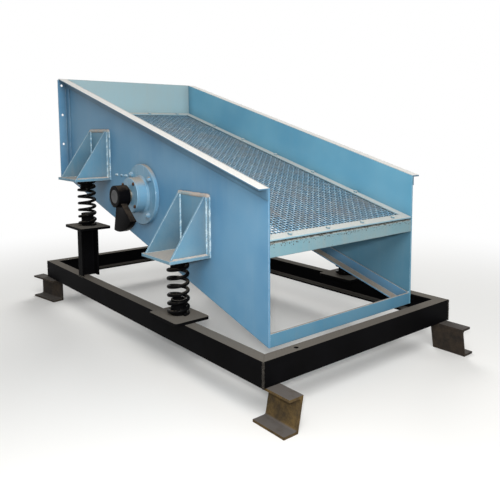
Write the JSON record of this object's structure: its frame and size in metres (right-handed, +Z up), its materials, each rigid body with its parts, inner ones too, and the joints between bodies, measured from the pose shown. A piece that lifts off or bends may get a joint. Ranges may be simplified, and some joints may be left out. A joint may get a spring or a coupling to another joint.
{
  "type": "vibrating sieve",
  "caption": "Inclined vibrating sieve: sloping open body with a woven wire deck on coil springs, shaken by an eccentric shaft, over a channel-section base frame.",
  "frame": {"origin": "on the floor, under the middle of the bounding box", "axes": "+X towards the discharge end, +Y away from the visible counterweight side, +Z up"},
  "size_m": [1.7394, 0.984, 1.0289],
  "materials": {
    "body_paint": "satin",
    "frame_paint": "satin",
    "spring_steel": "gloss",
    "foot_steel": "rusty mill finish",
    "deck_wire": "dusty painted wire",
    "clamp_steel": "dusty paint",
    "bare_steel": "turned",
    "weight_paint": "satin"
  },
  "bodies": {
    "base": {"frame_beam_near": "frame_paint", "frame_beam_far": "frame_paint", "frame_beam_front": "frame_paint", "frame_beam_rear": "frame_paint", "foot_front_near": "foot_steel", "foot_front_far": "foot_steel", "foot_rear_near": "foot_steel", "foot_rear_far": "foot_steel", "post_near": "frame_paint", "post_far": "frame_paint", "spring_seat_front_near": "frame_paint", "spring_seat_front_far": "frame_paint", "spring_seat_rear_near": "frame_paint", "spring_seat_rear_far": "frame_paint", "spring_front_near": "spring_steel", "spring_front_far": "spring_steel", "spring_rear_near": "spring_steel", "spring_rear_far": "spring_steel", "lower_spring_guides": "frame_paint"},
    "screen_body": {"side_plate_near": "body_paint", "side_plate_far": "body_paint", "top_angle_near": "body_paint", "top_angle_far": "body_paint", "rear_angle_near": "body_paint", "rear_angle_far": "body_paint", "bottom_angle_near": "body_paint", "bottom_angle_far": "body_paint", "deck_ledge_near": "body_paint", "deck_ledge_far": "body_paint", "rear_plate": "body_paint", "front_cross_angle": "body_paint", "front_deck_beam": "body_paint", "rear_deck_ledge": "body_paint", "deck_bearers": "body_paint", "deck_runners": "body_paint", "spring_bracket_front_near": "body_paint", "spring_bracket_front_far": "body_paint", "spring_bracket_rear_near": "body_paint", "spring_bracket_rear_far": "body_paint", "upper_spring_guides": "body_paint", "wire_mesh": "deck_wire", "clamp_strip_front": "clamp_steel", "clamp_strip_rear": "clamp_steel", "clamp_strip_near": "clamp_steel", "clamp_strip_far": "clamp_steel", "clamp_bolts": "clamp_steel", "shaft_tube": "body_paint", "bearing_housing_near": "body_paint", "bearing_housing_far": "body_paint", "bearing_cover_near": "body_paint", "bearing_cover_far": "body_paint", "bearing_outer_rings": "bare_steel", "housing_studs": "body_paint"},
    "rotor": {"shaft": "bare_steel", "shaft_keys": "bare_steel", "counterweight_near": "weight_paint", "counterweight_far": "weight_paint", "drive_pulley": "weight_paint", "bearing_inner_rings": "bare_steel", "bearing_rollers": "bare_steel"}
  },
  "joints": [
    {"name": "body_bounce", "type": "slide", "parent": "base", "child": "screen_body", "axis": [0, 0, 1], "range_m": [-0.008, 0.008], "stiffness_N_per_m": 521000, "springref_m": 0.00395, "deforming": ["spring_front_near", "spring_front_far", "spring_rear_near", "spring_rear_far"]},
    {"name": "rotor_spin", "type": "hinge", "parent": "screen_body", "child": "rotor", "pos_m": [-0.03029, 0, 0.55], "axis": [0, 1, 0], "continuous": true}
  ]
}
